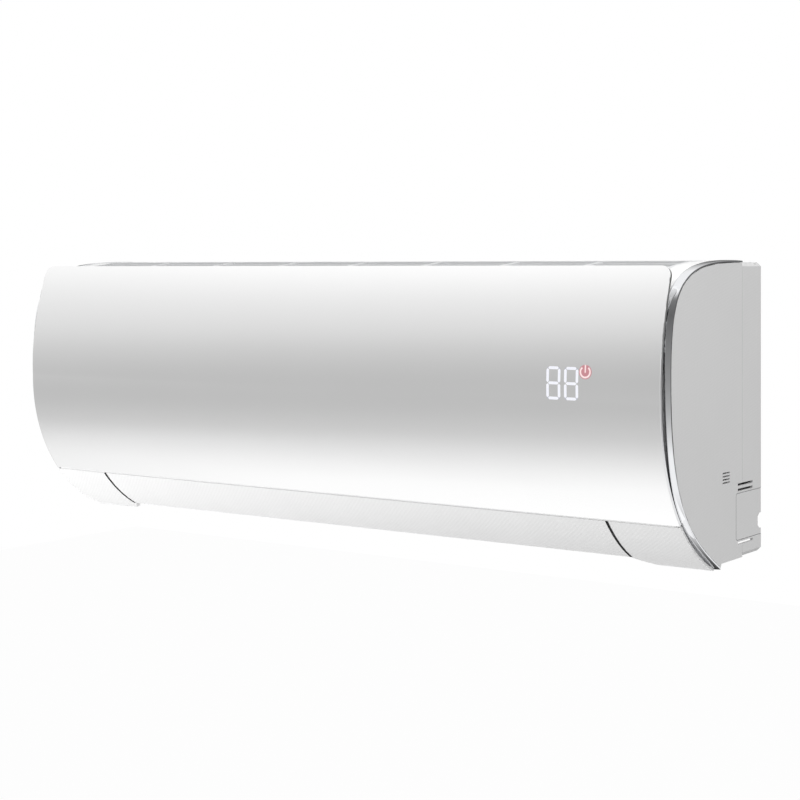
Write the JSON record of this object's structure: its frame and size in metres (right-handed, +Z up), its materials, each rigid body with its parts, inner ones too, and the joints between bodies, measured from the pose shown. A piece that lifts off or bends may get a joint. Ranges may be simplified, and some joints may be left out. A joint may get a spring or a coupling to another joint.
{
  "type": "wall-mounted air conditioner indoor unit",
  "caption": "Wall-mounted split air conditioner indoor unit with a bowed glossy front panel, chrome end arcs, a tilting louver, ganged air vanes and a cross-flow fan.",
  "frame": {"origin": "centre of the mounting plate's back face on the wall, at the middle of the end trims' height", "axes": "+X towards the right end seen from the room, -Y out of the wall towards the room, +Z up"},
  "size_m": [0.805, 0.2038, 0.288],
  "materials": {
    "pearl_panel": "pearlescent silver-white film under clear gloss",
    "satin_white_plastic": "satin white moulding",
    "housing_plastic": "fine-textured light grey moulding",
    "chrome_trim": "bright plated",
    "galvanised_steel": "galvanised sheet",
    "fin_aluminium": "mill-finished fins",
    "copper_tube": "drawn copper",
    "brass": "machined",
    "bright_steel": "ground",
    "dark_plastic": "matt black",
    "white_plastic": "natural white moulding",
    "rubber": "moulded",
    "circuit_board": "solder mask",
    "filter_mesh": "woven polymer net"
  },
  "bodies": {
    "casing": {"wall_mounting_plate": "galvanised_steel", "rear_chassis": "housing_plastic", "front_frame": "satin_white_plastic", "top_intake_grille": "satin_white_plastic", "right_end_cap": "housing_plastic", "right_chrome_trim": "chrome_trim", "right_knockout_cover": "housing_plastic", "left_end_cap": "housing_plastic", "left_chrome_trim": "chrome_trim", "left_knockout_cover": "housing_plastic", "louver_motor": "galvanised_steel", "louver_bush": "white_plastic", "drain_pan": "white_plastic", "drain_plug": "rubber", "fan_bearing": "rubber", "fan_motor": "white_plastic", "motor_clamp": "housing_plastic", "coil_front_lower": "fin_aluminium", "coil_front_upper": "fin_aluminium", "coil_rear": "fin_aluminium", "right_tube_sheet": "copper_tube", "left_tube_sheet": "copper_tube", "gas_pipe": "copper_tube", "liquid_pipe": "copper_tube", "gas_flare_nut": "brass", "liquid_flare_nut": "brass", "pipe_holder": "white_plastic", "control_box": "galvanised_steel", "control_box_cover": "galvanised_steel", "main_board": "circuit_board", "terminal_block": "dark_plastic", "room_sensor": "white_plastic"},
    "front_panel": {"front_panel": "pearl_panel", "display_light_guide": "dark_plastic", "display_board": "circuit_board"},
    "louver": {"louver": "satin_white_plastic"},
    "fan": {"cross_flow_fan": "dark_plastic", "motor_shaft": "bright_steel"},
    "right_air_filter": {"right_air_filter": "filter_mesh"},
    "left_air_filter": {"left_air_filter": "filter_mesh"},
    "manual_button": {"manual_button": "white_plastic"},
    "right_vane_1": {"right_vane_1": "white_plastic"},
    "right_vane_2": {"right_vane_2": "white_plastic"},
    "right_vane_3": {"right_vane_3": "white_plastic"},
    "right_vane_4": {"right_vane_4": "white_plastic"},
    "right_vane_5": {"right_vane_5": "white_plastic"},
    "right_vane_link": {"right_vane_link": "white_plastic"},
    "left_vane_1": {"left_vane_1": "white_plastic"},
    "left_vane_2": {"left_vane_2": "white_plastic"},
    "left_vane_3": {"left_vane_3": "white_plastic"},
    "left_vane_4": {"left_vane_4": "white_plastic"},
    "left_vane_5": {"left_vane_5": "white_plastic"},
    "left_vane_link": {"left_vane_link": "white_plastic"}
  },
  "joints": [
    {"name": "front_panel_lift", "type": "hinge", "parent": "casing", "child": "front_panel", "pos_m": [0, -0.166, 0.116], "axis": [-1, 0, 0], "range_deg": [0, 60]},
    {"name": "louver_swing", "type": "hinge", "parent": "casing", "child": "louver", "pos_m": [0, -0.11844, -0.12476], "axis": [1, 0, 0], "range_deg": [0, 75]},
    {"name": "fan_spin", "type": "hinge", "parent": "casing", "child": "fan", "pos_m": [0, -0.082, -0.018], "axis": [1, 0, 0], "continuous": true},
    {"name": "right_filter_lift", "type": "hinge", "parent": "casing", "child": "right_air_filter", "pos_m": [0, -0.06206, 0.00406], "axis": [-1, 0, 0], "range_deg": [0, 4.5]},
    {"name": "left_filter_lift", "type": "hinge", "parent": "casing", "child": "left_air_filter", "pos_m": [0, -0.06206, 0.00406], "axis": [-1, 0, 0], "range_deg": [0, 4.5]},
    {"name": "manual_button_press", "type": "slide", "parent": "casing", "child": "manual_button", "axis": [0, 1, 0], "range_m": [0, 0.001], "stiffness_N_per_m": 400, "springref_m": -0.0008},
    {"name": "right_vane_1_turn", "type": "hinge", "parent": "casing", "child": "right_vane_1", "pos_m": [0.03215, -0.12869, -0.06459], "axis": [0, 0.7805, -0.6252], "range_deg": [-35, 35]},
    {"name": "right_vane_2_turn", "type": "hinge", "parent": "casing", "child": "right_vane_2", "pos_m": [0.09645, -0.12869, -0.06459], "axis": [0, 0.7805, -0.6252], "range_deg": [-35, 35]},
    {"name": "right_vane_3_turn", "type": "hinge", "parent": "casing", "child": "right_vane_3", "pos_m": [0.16075, -0.12869, -0.06459], "axis": [0, 0.7805, -0.6252], "range_deg": [-35, 35]},
    {"name": "right_vane_4_turn", "type": "hinge", "parent": "casing", "child": "right_vane_4", "pos_m": [0.22505, -0.12869, -0.06459], "axis": [0, 0.7805, -0.6252], "range_deg": [-35, 35]},
    {"name": "right_vane_5_turn", "type": "hinge", "parent": "casing", "child": "right_vane_5", "pos_m": [0.28935, -0.12869, -0.06459], "axis": [0, 0.7805, -0.6252], "range_deg": [-35, 35]},
    {"name": "right_vane_link_turn", "type": "hinge", "parent": "right_vane_1", "child": "right_vane_link", "pos_m": [0.03215, -0.08718, -0.11193], "axis": [0, 0.7805, -0.6252], "range_deg": [-35, 35]},
    {"name": "left_vane_1_turn", "type": "hinge", "parent": "casing", "child": "left_vane_1", "pos_m": [-0.03215, -0.12869, -0.06459], "axis": [0, 0.7805, -0.6252], "range_deg": [-35, 35]},
    {"name": "left_vane_2_turn", "type": "hinge", "parent": "casing", "child": "left_vane_2", "pos_m": [-0.09645, -0.12869, -0.06459], "axis": [0, 0.7805, -0.6252], "range_deg": [-35, 35]},
    {"name": "left_vane_3_turn", "type": "hinge", "parent": "casing", "child": "left_vane_3", "pos_m": [-0.16075, -0.12869, -0.06459], "axis": [0, 0.7805, -0.6252], "range_deg": [-35, 35]},
    {"name": "left_vane_4_turn", "type": "hinge", "parent": "casing", "child": "left_vane_4", "pos_m": [-0.22505, -0.12869, -0.06459], "axis": [0, 0.7805, -0.6252], "range_deg": [-35, 35]},
    {"name": "left_vane_5_turn", "type": "hinge", "parent": "casing", "child": "left_vane_5", "pos_m": [-0.28935, -0.12869, -0.06459], "axis": [0, 0.7805, -0.6252], "range_deg": [-35, 35]},
    {"name": "left_vane_link_turn", "type": "hinge", "parent": "left_vane_1", "child": "left_vane_link", "pos_m": [-0.03215, -0.08718, -0.11193], "axis": [0, 0.7805, -0.6252], "range_deg": [-35, 35]}
  ],
  "couplings": [
    {"joint": "right_vane_2_turn", "follows": "right_vane_1_turn", "ratio": 1},
    {"joint": "right_vane_3_turn", "follows": "right_vane_1_turn", "ratio": 1},
    {"joint": "right_vane_4_turn", "follows": "right_vane_1_turn", "ratio": 1},
    {"joint": "right_vane_5_turn", "follows": "right_vane_1_turn", "ratio": 1},
    {"joint": "right_vane_link_turn", "follows": "right_vane_1_turn", "ratio": -1},
    {"joint": "left_vane_2_turn", "follows": "left_vane_1_turn", "ratio": 1},
    {"joint": "left_vane_3_turn", "follows": "left_vane_1_turn", "ratio": 1},
    {"joint": "left_vane_4_turn", "follows": "left_vane_1_turn", "ratio": 1},
    {"joint": "left_vane_5_turn", "follows": "left_vane_1_turn", "ratio": 1},
    {"joint": "left_vane_link_turn", "follows": "left_vane_1_turn", "ratio": -1}
  ]
}
